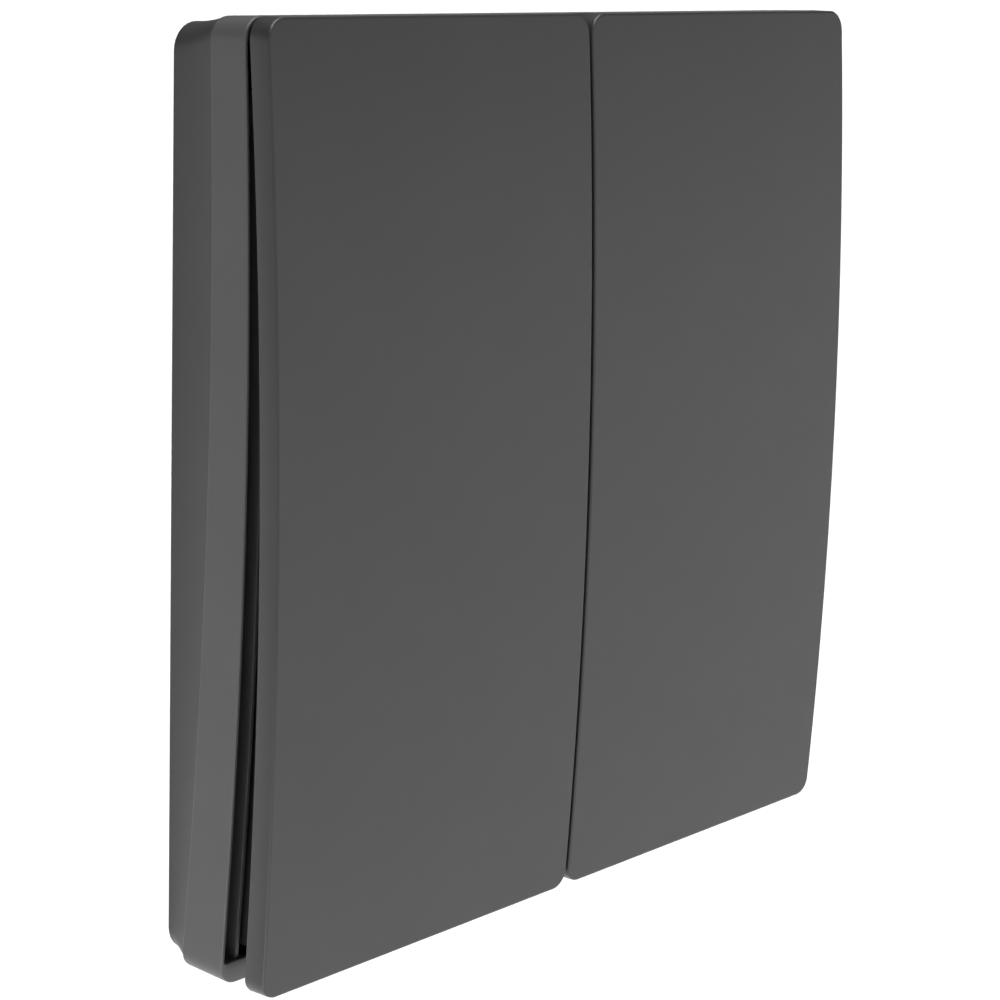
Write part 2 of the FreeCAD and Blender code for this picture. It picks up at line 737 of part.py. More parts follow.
def make_rocker(name, gang):
    half = "(face_half - gang_gap / 2) / 2"
    blank = block(spread(half), ("0", "2 * front_crown"), spread("face_half"))
    front = behind_bow("front_bow", "front_crown", "front_rise")
    back = behind_bow("back_bow", "back_crown", "back_rise")
    panel = cut(common(blank, front), back)
    panel = rounded(panel, "corner_round", runs_outward)
    side_limit = value(half) - value("corner_round") - 0.01

    def on_front_outline(edge):
        middle = edge.valueAt((edge.FirstParameter + edge.LastParameter) / 2)
        depth_of_front = value("front_crown - front_bow") + (
            value("front_bow") ** 2 - (middle.z - value("front_rise")) ** 2
        ) ** 0.5
        near_rim = abs(middle.x) > side_limit or abs(middle.z) > value("face_half") - 1
        return near_rim and abs(-middle.y - depth_of_front) < 0.01

    panel = rounded(panel, "edge_round", on_front_outline)

    inner = f"{half} - panel_border"
    room_up = ("panel_border - face_half", "recess_top")
    room = block(spread(inner), ("0", "2 * front_crown"), room_up)
    recess = common(room, behind_bow("back_bow + panel_recess", "back_crown + panel_recess", "back_rise"))
    hollow = cut(panel, recess)

    behind_front = behind_bow("front_bow", "front_crown - 1", "front_rise")
    additions = []
    bores = []
    for step in (-1, 1):
        place = f"{step} * knuckle_place"
        across = (f"{place} - knuckle_wide / 2", f"{place} + knuckle_wide / 2")
        lug_up = ("hinge_height - ear_half", "hinge_height + ear_half")
        additions.append(block(across, ("hinge_depth", "knuckle_root"), lug_up))
        additions.append(rod_across("ear_half", across, "hinge_depth", "hinge_height"))
        bores.append(rod_across("pin_radius + running_gap", across, "hinge_depth", "hinge_height"))

        hook = f"{step} * hook_across"
        leg_across = (f"{hook} - leg_half", f"{hook} + leg_half")
        additions.append(block(leg_across, ("leg_tip", "lug_root"), ("leg_low", "leg_high")))
        additions.append(block(leg_across, ("leg_tip", "leg_toe_top"), ("leg_toe_low", "leg_low + rib_half")))

        rib = (f"{step} * rib_across - rib_half", f"{step} * rib_across + rib_half")
        rib_solid = block(rib, ("0", "2 * front_crown"), ("rib_low", "rib_high"))
        rib_back = behind_bow("back_bow + rib_sunk", "back_crown + rib_sunk", "back_rise")
        additions.append(cut(common(rib_solid, behind_front), rib_back))
    skirt_depth = ("skirt_back", "2 * front_crown")
    for across, up in both_sides((("skirt_inner", "skirt_outer"), ("skirt_low", "skirt_high"))):
        additions.append(common(block(across, skirt_depth, up), behind_front))
    pusher_up = ("pusher_height - 1", "pusher_height + 1")
    additions.append(block(spread("pusher_half"), ("pusher_tip", "lug_root + 1"), pusher_up))
    additions.append(rod_outward("nib_radius", "0", ("nib_tip", "lug_root"), "key_height"))
    keep(cut(fuse(hollow, *additions), *bores), name, gang)


def make_hinge_pin(name, gang):
    pin = rod_across("pin_radius", spread("pin_half_length"), "hinge_depth", "hinge_height")
    keep(common(pin), name, gang)


def make_return_spring(name, gang):
    """A folded leaf: a foot on the floor, a round fold and an arm that ends in a curl."""
    thick = value("leaf_thick")
    wide = value("leaf_wide")
    floor = value("floor_top") + thick / 2
    points = [
        (floor, value("leaf_foot")),
        (floor, value("leaf_fold")),
        (floor + value("leaf_rise"), value("leaf_fold")),
        (value("leaf_arm_depth"), value("leaf_arm_height")),
        (value("leaf_tip_depth"), value("leaf_tip_height")),
    ]
    bends = [value("leaf_bend"), value("leaf_bend"), value("leaf_curl")]
    places = [FreeCAD.Vector(0, -depth, height) for depth, height in points]
    path = rounded_path(places, bends)
    start = FreeCAD.Vector(-wide / 2, -floor - thick / 2, points[0][1])
    section = Part.makePolygon(
        [
            start,
            start + FreeCAD.Vector(wide, 0, 0),
            start + FreeCAD.Vector(wide, thick, 0),
            start + FreeCAD.Vector(0, thick, 0),
            start,
        ]
    )
    spring = DOC.addObject("Part::Feature", "ReturnSpring")
    spring.Shape = path.makePipeShell([section], True, False)
    spring.Placement = FreeCAD.Placement(FreeCAD.Vector(gang * value("gang_place"), 0, 0), FreeCAD.Rotation())
    spring.Label = name
    SUBPARTS.append(spring)


def rounded_path(places, radii):
    """Straight runs joined by tangent arcs."""
    edges = []
    start = places[0]
    for before, corner, after, radius in zip(places, places[1:], places[2:], radii):
        inward = (before - corner).normalize()
        onward = (after - corner).normalize()
        half_angle = inward.getAngle(onward) / 2
        setback = radius / tan(half_angle)
        middle = (inward + onward).normalize()
        centre = corner + middle * (radius / sin(half_angle))
        first = corner + inward * setback
        last = corner + onward * setback
        edges.append(Part.LineSegment(start, first).toShape())
        edges.append(Part.Arc(first, centre - middle * radius, last).toShape())
        start = last
    edges.append(Part.LineSegment(start, places[-1]).toShape())
    return Part.Wire(edges)


# ---- generators ----


def make_generator_case(name, gang):
    case = new_body("GeneratorCase")
    outer = (spread("case_half"), ("case_low", "case_high"))
    inner = (spread("case_half - case_wall"), ("case_low + case_wall", "case_high - case_wall"))
    tab_up = ("case_high - case_wall / 2", "tab_high")
    layer(case, "Pad", ("floor_top", "case_floor"), [outer])
    layer(case, "Pad", ("case_floor", "case_top"), [outer, inner])
    tabs = both_sides((("tab_inner", "case_half"), tab_up))
    layer(case, "Pad", ("floor_top", "floor_top + tab_thick"), tabs)
    supports = both_sides((("support_inner", "plate_reach"), ("pole_low", "pole_high")))
    layer(case, "Pad", ("case_floor", "pole_back"), supports)
    foot = ("case_low - 1", "case_low + case_wall + 0.1")
    layer(case, "Pocket", ("window_back", "window_front"), [(spread("window_half"), foot)])
    roof = ("case_high - case_wall - 0.1", "case_high + 1")
    layer(case, "Pocket", ("lead_slot", "case_top + 1"), both_sides((("lead_inner", "lead_outer"), roof)))
    bore = ("pivot_depth", "pivot_height", "pivot_radius")
    crosswise(case, "Pocket", spread("case_half + 1"), [bore])
    holes = [(f"{step} * tab_screw_across", "tab_screw_height", "tab_hole") for step in (-1, 1)]
    layer(case, "Pocket", ("floor_top - 1", "floor_top + 2"), circles=holes)
    keep(case, name, gang)


def make_coil_bobbin(name, gang):
    flange_depth = ("case_floor", "cheek_front")
    tube = block(spread("tube_half"), ("tube_back", "tube_front"), spread("coil_half"))
    low = block(spread("cheek_half"), flange_depth, ("-coil_half", "cheek_thick - coil_half"))
    high = block(spread("cheek_half"), flange_depth, ("coil_half - cheek_thick", "coil_half"))
    hollow = ("tube_back + tube_wall", "tube_front - tube_wall")
    bore = block(spread("tube_half - tube_wall"), hollow, spread("coil_half + 1"))
    keep(cut(fuse(tube, low, high), bore), name, gang)


def make_coil_winding(name, gang):
    up = spread("coil_half - cheek_thick")
    wound = block(spread("wire_half"), ("wire_back", "wire_front"), up)
    outside = rounded(wound, "wire_round", runs_up)
    inside = block(spread("tube_half"), ("tube_back", "tube_front"), spread("coil_half"))
    keep(cut(outside, inside), name, gang)


def runs_up(edge):
    start, end = edge.Vertexes[0].Point, edge.Vertexes[-1].Point
    return abs(end.z - start.z) > 1 and abs(end.x - start.x) + abs(end.y - start.y) < 0.001


def make_iron_core(name, gang):
    bar = block(spread("core_half"), ("core_back", "core_front"), ("core_tip", "pivot_height"))
    eye = rod_across("core_eye", spread("core_half"), "pivot_depth", "pivot_height")
    bore = rod_across("pivot_radius + running_gap", spread("2 * core_half"), "pivot_depth", "pivot_height")
    keep(cut(fuse(bar, eye), bore), name, gang)


def make_magnets(name, gang):
    depth = ("pole_back + pole_thick", "pole_front - pole_thick")
    up = ("pole_low", "pole_high")
    places = both_sides((("magnet_inner", "magnet_outer"), up))
    keep(group(*[block(across, depth, height) for across, height in places]), name, gang)


def make_pole_plates(name, gang):
    up = ("pole_low", "pole_high")
    back = block(spread("plate_reach"), ("pole_back", "pole_back + pole_thick"), up)
    front = block(spread("plate_reach"), ("pole_front - pole_thick", "pole_front"), up)
    keep(group(back, front), name, gang)


def make_generator_lever(name, gang):
    lever = new_body("GeneratorLever")
    layer(lever, "Pad", ("bar_back", "bar_front"), [(spread("arm_outer"), ("bar_low", "bar_high"))])
    arms = both_sides((("arm_inner", "arm_outer"), ("bar_high - 1", "pivot_height")))
    layer(lever, "Pad", ("pivot_depth - arm_thick / 2", "pivot_depth + arm_thick / 2"), arms)
    for across in (("arm_inner", "arm_outer"), ("-arm_outer", "-arm_inner")):
        crosswise(lever, "Pad", across, [("pivot_depth", "pivot_height", "lever_eye")])
    slot = (spread("slot_half"), ("bar_low - 1", "bar_high + 1"))
    layer(lever, "Pocket", ("slot_back", "slot_front"), [slot])
    bore = ("pivot_depth", "pivot_height", "pivot_radius + running_gap")
    crosswise(lever, "Pocket", spread("arm_outer + 1"), [bore])
    keep(lever, name, gang)


def make_generator_pin(name, gang):
    pin = rod_across("pivot_radius", spread("pivot_half_length"), "pivot_depth", "pivot_height")
    keep(common(pin), name, gang)


def make_coil_terminals(name, gang):
    strips = []
    for side in (-1, 1):
        across = (f"{side} * lead_across - lead_wide / 2", f"{side} * lead_across + lead_wide / 2")
        strip = block(across, ("lead_back", "lead_front"), ("coil_half", "lead_high"))
        foot = block(across, ("board_front", "lead_front"), ("lead_foot", "lead_high"))
        strips.append(fuse(strip, foot))
    keep(group(*strips), name, gang)


# ---- board ----


def make_circuit_board():
    board = new_body("CircuitBoard")
    outline = (spread("board_half"), ("board_low", "board_high"))
    layer(board, "Pad", ("board_back", "board_front"), [outline])
    layer(board, "Pocket", ("board_back", "board_front"), circles=stakes("stake_radius + running_gap"))
    keep(board, "circuit_board")


def on_board(across, up, thick):
    return block(across, ("board_front", f"board_front + {thick}"), up)


def chip_parts(places, kind):
    """Small parts at the same two places on either side of the board's middle."""
    parts = []
    for side in (-1, 1):
        for place in places:
            across = (f"{side} * {place} - {kind}_half", f"{side} * {place} + {kind}_half")
            parts.append(on_board(across, ("small_part_low", f"{kind}_high"), f"{kind}_thick"))
    return parts


def make_board_parts():
    can = on_board(spread("can_half"), ("can_low", "can_high"), "can_thick")
    inside_can = ("can_low + can_wall", "can_high - can_wall")
    room = on_board(spread("can_half - can_wall"), inside_can, "can_thick - can_wall")
    keep(cut(can, room), "radio_shield")
    chip = on_board(spread("chip_half"), ("chip_place - chip_half", "chip_place + chip_half"), "chip_thick")
    keep(common(chip), "radio_chip")
    capacitors = chip_parts(("capacitor_first", "capacitor_second"), "capacitor")
    keep(group(*capacitors), "storage_capacitors")
    diodes = chip_parts(("diode_first", "diode_second"), "diode")
    keep(group(*diodes), "rectifier_diodes")

    # the antenna: a stamped strip that runs back and forth along the board's top edge
    turns = 5
    strips = []
    for turn in range(turns):
        left = f"trace_left + {turn} * trace_step"
        upright = (left, f"{left} + trace_wide")
        strips.append(on_board(upright, ("trace_low", "trace_high"), "trace_thick"))
        link = (left, f"{left} + trace_step + trace_wide")
        height = ("trace_high - trace_wide", "trace_high")
        if turn % 2:
            height = ("trace_low", "trace_low + trace_wide")
        if turn < turns - 1:
            strips.append(on_board(link, height, "trace_thick"))
    keep(fuse(*strips), "radio_antenna")


def make_key(gang, side):
    base = on_board(spread("key_half"), ("key_height - key_half", "key_height + key_half"), "key_thick")
    bore = rod_outward("key_radius + running_gap", "0", ("key_cavity", "2 * key_cavity"), "key_height")
    keep(cut(base, bore), f"key_switch_{side}", gang)
    stem = rod_outward("key_radius", "0", ("key_foot", "key_top"), "key_height")
    keep(common(stem), f"key_button_{side}", gang)


# ---- the whole switch ----


def make_gang(gang, side):
    make_rocker(f"rocker_{side}", gang)
    make_hinge_pin(f"hinge_pin_{side}", gang)
    make_return_spring(f"return_spring_{side}", gang)
    make_generator_case(f"generator_case_{side}", gang)
    make_coil_bobbin(f"coil_bobbin_{side}", gang)
    make_coil_winding(f"coil_winding_{side}", gang)
    make_iron_core(f"iron_core_{side}", gang)
    make_magnets(f"magnets_{side}", gang)
    make_pole_plates(f"pole_plates_{side}", gang)
    make_generator_lever(f"generator_lever_{side}", gang)
    make_generator_pin(f"generator_pin_{side}", gang)
    make_coil_terminals(f"coil_terminals_{side}", gang)
    make_key(gang, side)


def check_document():
    DOC.recompute()
    for thing in DOC.Objects:
        if "Invalid" in thing.State or "Error" in thing.State:
            raise RuntimeError(f"{thing.Name} ({thing.Label}) failed: {thing.State}")
    for solid in SUBPARTS:
        if solid.Shape.isNull() or not solid.Shape.isValid() or not solid.Shape.Solids:
            raise RuntimeError(f"{solid.Label} has no valid solid")


def export_subparts():
    os.makedirs("parts", exist_ok=True)
    for solid in SUBPARTS:
        solid.Shape.exportStep(os.path.join("parts", f"{solid.Label}.step"))
        print(f"{solid.Label}: {len(solid.Shape.Solids)} solid(s), {solid.Shape.Volume:.1f} mm3")


fill_sheet()
make_back_housing()
make_front_frame()
make_wall_plate()
make_adhesive_pads()
make_chassis()
make_screws()
make_stop_pads()
make_circuit_board()
make_board_parts()
make_gang(-1, "left")
make_gang(1, "right")
check_document()
export_subparts()
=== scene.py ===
"""Two-gang rocker wall switch: the looks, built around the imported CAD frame.

X runs to the right, Y into the wall and Z up, in metres. A depth is the distance out from the
wall, so depth = -Y. Shape sizes are written in millimetres and turned into metres by MM.
"""

import json
import math

import bmesh
import bpy
from mathutils import Matrix, Vector


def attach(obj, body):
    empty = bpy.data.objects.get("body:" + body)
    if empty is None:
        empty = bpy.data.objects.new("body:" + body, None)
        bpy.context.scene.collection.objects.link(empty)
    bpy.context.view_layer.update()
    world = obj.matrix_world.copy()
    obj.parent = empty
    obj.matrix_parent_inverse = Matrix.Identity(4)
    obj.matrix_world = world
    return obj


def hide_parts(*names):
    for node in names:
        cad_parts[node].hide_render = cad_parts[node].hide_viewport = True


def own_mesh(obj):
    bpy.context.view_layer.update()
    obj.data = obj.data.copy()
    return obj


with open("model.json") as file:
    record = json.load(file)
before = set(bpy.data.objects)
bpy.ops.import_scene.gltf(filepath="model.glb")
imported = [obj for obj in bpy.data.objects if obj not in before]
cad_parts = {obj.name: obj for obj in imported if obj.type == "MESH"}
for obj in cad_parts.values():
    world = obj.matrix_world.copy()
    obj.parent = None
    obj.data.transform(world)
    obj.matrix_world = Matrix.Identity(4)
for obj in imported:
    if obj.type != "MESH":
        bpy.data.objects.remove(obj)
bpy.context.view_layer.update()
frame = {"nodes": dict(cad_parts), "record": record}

MM = 0.001

# ---- sizes, in millimetres ----

FACE_HALF = 43.0
CORNER_ROUND = 2.0
GANG_GAP = 0.4
LIP = 0.33
LEDGE_DROP = 1.4
BORE_HALF = 41.3
SILL_HALF = 41.0
DRAFT_BACK_HALF = 42.6
DRAFT_PER_DEPTH = 0.4 / 10.6
WALL_HALF = 42.1
WALL_ROUND = 2.1
COVE_ROUND = 2.5
FRAME_LOW = 0.3
SILL_UNDERCUT = 0.35
SILL_EDGE = 0.12
NECK_DEPTH = 5.8
PANEL_RECESS = 0.8
PANEL_BORDER = 2.4
RECESS_TOP = 36.0
FLOOR_TOP = 3.4
FLANGE_LOW = 1.4
FLANGE_TOP = 2.4
CORNER_BLOCK = 30.0
BLOCK_LOW = 0.3
SCREW_PLACE = 36.0
SCREW_HOLE = 1.0
GANG_PLACE = 21.6
HINGE_DEPTH = 7.2
HINGE_HEIGHT = 39.3
FOLD_ROUND = 0.14
LIP_ROUND = 0.16
WALL_EDGE_ROUND = 0.15
SEAM = -0.04
COVE_STEPS = 16
COVE_POWER = 1.65
BORE_ROUND = 1.0
SILL_CORNER = 0.3
SKIRT_GAP = 0.05
NARROW = 0.1
FLANGE_INNER = 38.3
POCKET_HALF = 40.9
POCKET_ROUND = 0.5
BACK_RIM_HALF = 41.0
BACK_RIM_ROUND = 0.6

# chassis screens, from the middle outwards
SCREEN_INNER = 40.08
SCREEN_FIN = 40.44
SCREEN_OUTER = 40.82
SCREEN_DROP = 0.37
SCREEN_STEP = 1.2
SCREEN_BEVEL = 0.05
SCREEN_LOW = -41.3
SCREEN_HIGH = 36.52

# rockers; places across are from the middle of the rocker
EDGE_ROUND = 0.2
ROCKER_ROUNDS = (2.0, 2.0, 1.75, 1.75)
BACK_EDGE_ROUND = 0.1
LUG_ROOT = 12.6
LUG_EDGE = 0.12
KNUCKLE_PLACE = 13.2
KNUCKLE_HALF = 1.5
KNUCKLE_ROUND = 1.6
KNUCKLE_BORE = 0.95
KNUCKLE_BLOCK = (1.3, 10.9)
HOOK_PLACE = 8.0
HOOK_HALF = 2.5
HOOK_LEG = ((6.3, LUG_ROOT), (-37.4, -36.2))
HOOK_TOE = ((6.32, 7.4), (-38.9, -37.0))
HOOK_TOE_INSET = 0.02
PUSHER_HALF = 7.6
PUSHER = ((9.15, LUG_ROOT), (-14.0, -12.0))
NIB_HEIGHT = 28.0
NIB_RADIUS = 1.2
NIB_TIP = 9.7
NIB_EDGE = 0.2
RIB_SINK = 1.0
# (place across, half thickness, low, high, back depth or None for the rocker's own back)
RIBS = ((8.0, 0.5, -21.0, 36.2, None), (17.8, 0.4, -40.0, 12.0, 6.2))
ROUND_STEPS = 32
SPRING_EDGE = 0.04


def bow(radius, crown, rise):
    """Depth of a bowed edge at a height: a large arc with its crown at height rise."""
    return lambda z: crown - radius + math.sqrt(radius**2 - (z - rise) ** 2)


frame_front = bow(598.0, 10.21, 12.45)
fold_line = bow(595.6, 5.62, 19.7)
rocker_back = bow(567.3, 11.98, -5.15)
rocker_front = bow(596.2, 14.25, -6.2)


def draft_half(depth):
    """Half width of the frame's slightly opening side band."""
    return DRAFT_BACK_HALF + DRAFT_PER_DEPTH * depth


def band_halves(depth, inset=0.0):
    """(right, top, left, bottom) of the side band; it reaches a little lower than the rockers."""
    half = draft_half(depth) - inset
    return (half, half, half, half + FRAME_LOW)


# ---- mesh helpers ----

SIDE_STEPS = 40
CORNER_STEPS = 8


def outline_stations():
    """Stations round a rounded rectangle, from the middle of the right side, anticlockwise."""
    stations = []
    for side in range(4):
        for step in range(SIDE_STEPS + 1):
            stations.append(("side", side, -1 + 2 * step / SIDE_STEPS))
        for step in range(1, CORNER_STEPS):
            stations.append(("corner", side, step / CORNER_STEPS))
    return stations


STATIONS = outline_stations()
OUTWARD = [Vector((1, 0)), Vector((0, 1)), Vector((-1, 0)), Vector((0, -1))]


def outline_point(station, halves, radii):
    """One station's point; halves are (right, top, left, bottom), and each radius is the corner after."""
    kind, side, place = station
    out, along = OUTWARD[side], OUTWARD[(side + 1) % 4]
    half = halves[side]
    ahead, behind = halves[(side + 1) % 4], halves[(side - 1) % 4]
    if kind == "side":
        low, high = -(behind - radii[(side - 1) % 4]), ahead - radii[side]
        return out * half + along * (low + (high - low) * (place + 1) / 2)
    angle = place * math.pi / 2
    centre = out * (half - radii[side]) + along * (ahead - radii[side])
    return centre + (out * math.cos(angle) + along * math.sin(angle)) * radii[side]


def four(number):
    return (number,) * 4 if isinstance(number, (int, float)) else number


def ring(bm, halves, radii, depth, centre_x=0.0):
    """One closed loop of vertices; depth and halves may be functions (of height, of depth)."""
    loop = []
    for station in STATIONS:
        point = outline_point(station, four(FACE_HALF), four(four(radii)[0]))
        for _ in range(2):
            out = depth(point.y) if callable(depth) else depth
            sizes = four(halves(out)) if callable(halves) else four(halves)
            point = outline_point(station, sizes, four(radii))
        out = depth(point.y) if callable(depth) else depth
        loop.append(bm.verts.new(((point.x + centre_x) * MM, -out * MM, point.y * MM)))
    return loop


def bridge(bm, loops, closed=False):
    """Quads between loops of equal length."""
    pairs = list(zip(loops, loops[1:]))
    if closed:
        pairs.append((loops[-1], loops[0]))
    for first, second in pairs:
        count = len(first)
        for i in range(count):
            j = (i + 1) % count
            bm.faces.new((first[i], first[j], second[j], second[i]))


def fill_across(bm, loop, flip=False):
    """Closes a loop with strips that run from its left side to its right side at equal heights."""
    levels = {}
    for vertex in loop:
        levels.setdefault(round(vertex.co.z * 1e7), []).append(vertex)
    heights = sorted(levels)
    rows = [sorted(levels[height], key=lambda v: v.co.x) for height in heights]
    for low, high in zip(rows, rows[1:]):
        face = low + high[::-1]
        if flip:
            face = face[::-1]
        if len(face) >= 3:
            bm.faces.new(face)


def quarter(radius, steps=4):
    """Offsets (in, out) along a quarter round from a side face to an end face."""
    return [
        (radius * (1 - math.cos(a)), radius * math.sin(a))
        for a in (math.pi / 2 * i / steps for i in range(steps + 1))
    ]


def finish_mesh(bm, name, sharp_degrees=35):
    bmesh.ops.remove_doubles(bm, verts=bm.verts, dist=1e-7)
    bmesh.ops.dissolve_degenerate(bm, edges=bm.edges, dist=1e-7)
    bmesh.ops.recalc_face_normals(bm, faces=bm.faces)
    mesh = bpy.data.meshes.new(name)
    bm.to_mesh(mesh)
    bm.free()
    for polygon in mesh.polygons:
        polygon.use_smooth = True
    mesh.set_sharp_from_angle(angle=math.radians(sharp_degrees))
    thing = bpy.data.objects.new(name, mesh)
    bpy.context.scene.collection.objects.link(thing)
    return thing


def apply_modifiers(thing):
    depsgraph = bpy.context.evaluated_depsgraph_get()
    mesh = bpy.data.meshes.new_from_object(thing.evaluated_get(depsgraph))
    old = thing.data
    thing.modifiers.clear()
    thing.data = mesh
    bpy.data.meshes.remove(old)


# ---- materials ----


def new_material(name):
    material = bpy.data.materials.new(name)
    material.use_nodes = True
    nodes = material.node_tree.nodes
    return material, nodes, material.node_tree.links, nodes["Principled BSDF"]


def noise(nodes, links, scale, detail=3.0, stretch=(1, 1, 1)):
    """Object-space noise; scale is in features per metre."""
    place = nodes.new("ShaderNodeTexCoord")
    spread = nodes.new("ShaderNodeMapping")
    spread.inputs["Scale"].default_value = stretch
    texture = nodes.new("ShaderNodeTexNoise")
    texture.inputs["Scale"].default_value = scale
    texture.inputs["Detail"].default_value = detail
    links.new(place.outputs["Object"], spread.inputs["Vector"])
    links.new(spread.outputs["Vector"], texture.inputs["Vector"])
    return texture.outputs["Fac"]


def between(nodes, links, fac, low, high):
    """A number that follows fac from low to high."""
    node = nodes.new("ShaderNodeMapRange")
    node.inputs["From Min"].default_value = 0.3
    node.inputs["From Max"].default_value = 0.7
    node.inputs["To Min"].default_value = low
    node.inputs["To Max"].default_value = high
    links.new(fac, node.inputs["Value"])
    return node.outputs["Result"]


def colour_between(nodes, links, fac, dark, light):
    ramp = nodes.new("ShaderNodeValToRGB")
    ramp.color_ramp.elements[0].position = 0.3
    ramp.color_ramp.elements[1].position = 0.7
    ramp.color_ramp.elements[0].color = (*dark, 1)
    ramp.color_ramp.elements[1].color = (*light, 1)
    links.new(fac, ramp.inputs["Fac"])
    return ramp.outputs["Color"]


def bump(nodes, links, shader, height, strength, distance):
    node = nodes.new("ShaderNodeBump")
    node.inputs["Strength"].default_value = strength
    node.inputs["Distance"].default_value = distance
    links.new(height, node.inputs["Height"])
    links.new(node.outputs["Normal"], shader.inputs["Normal"])


def shade(tone, factor):
    return tuple(channel * factor for channel in tone)


def plastic(name, tone, roughness, grain=2600.0, grain_strength=0.06, specular=0.5, variation=0.04):
    """Moulded plastic: faint cloudiness in the colour, uneven gloss and a fine spark-eroded grain."""
    material, nodes, links, shader = new_material(name)
    cloud = noise(nodes, links, 90.0, 4.0)
    colour = colour_between(nodes, links, cloud, shade(tone, 1 - variation), shade(tone, 1 + variation))
    links.new(colour, shader.inputs["Base Color"])
    gloss = noise(nodes, links, 350.0, 5.0)
    links.new(
        between(nodes, links, gloss, roughness - 0.02, roughness + 0.02), shader.inputs["Roughness"]
    )
    bump(nodes, links, shader, noise(nodes, links, grain, 2.0), grain_strength, 0.00002)
    shader.inputs["Specular IOR Level"].default_value = specular
    return material


def metal(name, tone, roughness, stretch=(1, 1, 1), grain=1500.0):
    """Metal with fine drawn or rolled lines."""
    material, nodes, links, shader = new_material(name)
    lines = noise(nodes, links, grain, 4.0, stretch)
    links.new(
        colour_between(nodes, links, lines, shade(tone, 0.86), shade(tone, 1.0)),
        shader.inputs["Base Color"],
    )
    links.new(between(nodes, links, lines, roughness - 0.06, roughness + 0.08), shader.inputs["Roughness"])
    bump(nodes, links, shader, lines, 0.15, 0.00003)
    shader.inputs["Metallic"].default_value = 1.0
    return material


def board_material():
    """Solder mask over a faint weave."""
    material, nodes, links, shader = new_material("board")
    weave = noise(nodes, links, 2500.0, 1.0, (1, 1, 1))
    links.new(
        colour_between(nodes, links, weave, (0.012, 0.075, 0.03), (0.02, 0.11, 0.045)),
        shader.inputs["Base Color"],
    )
    links.new(between(nodes, links, weave, 0.28, 0.4), shader.inputs["Roughness"])
    bump(nodes, links, shader, weave, 0.2, 0.00002)
    return material


def make_materials():
    return {
        "frame_plastic": plastic("frame_plastic", (0.069, 0.069, 0.0692), 0.42),
        "back_plastic": plastic("back_plastic", (0.03, 0.03, 0.0302), 0.42),
        "rocker_plastic": plastic("rocker_plastic", (0.029, 0.029, 0.0292), 0.38),
        "plate_plastic": plastic("plate_plastic", (0.03, 0.03, 0.031), 0.55, grain_strength=0.2),
        "inner_plastic": plastic("inner_plastic", (0.07, 0.07, 0.0702), 0.5),
        "bobbin_plastic": plastic("bobbin_plastic", (0.62, 0.58, 0.5), 0.45),
        "lever_plastic": plastic("lever_plastic", (0.75, 0.74, 0.7), 0.4),
        "foam": plastic("foam", (0.55, 0.55, 0.53), 0.9, grain=900.0, grain_strength=0.6),
        "rubber": plastic("rubber", (0.02, 0.02, 0.02), 0.75, grain_strength=0.2),
        "steel": metal("steel", (0.6, 0.6, 0.61), 0.25, (1, 8, 8)),
        "spring_steel": metal("spring_steel", (0.5, 0.49, 0.46), 0.3, (1, 8, 8)),
        "core_iron": metal("core_iron", (0.36, 0.36, 0.37), 0.4),
        "magnet": metal("magnet", (0.62, 0.61, 0.6), 0.2),
        "copper": metal("copper", (0.78, 0.33, 0.14), 0.28, (1, 1, 14), 900.0),
        "board": board_material(),
        "tin": metal("tin", (0.66, 0.65, 0.62), 0.3),
        "chip": plastic("chip", (0.02, 0.02, 0.021), 0.6),
        "capacitor": plastic("capacitor", (0.72, 0.42, 0.08), 0.4),
    }


MATERIALS = make_materials()
SLOT_OF = {entry["node"]: entry["material_slot"] for entry in frame["record"]["subparts"]}


def dress(thing, slot_name):
    thing.data.materials.clear()
    thing.data.materials.append(MATERIALS[slot_name])


# ---- the front frame and the back housing ----


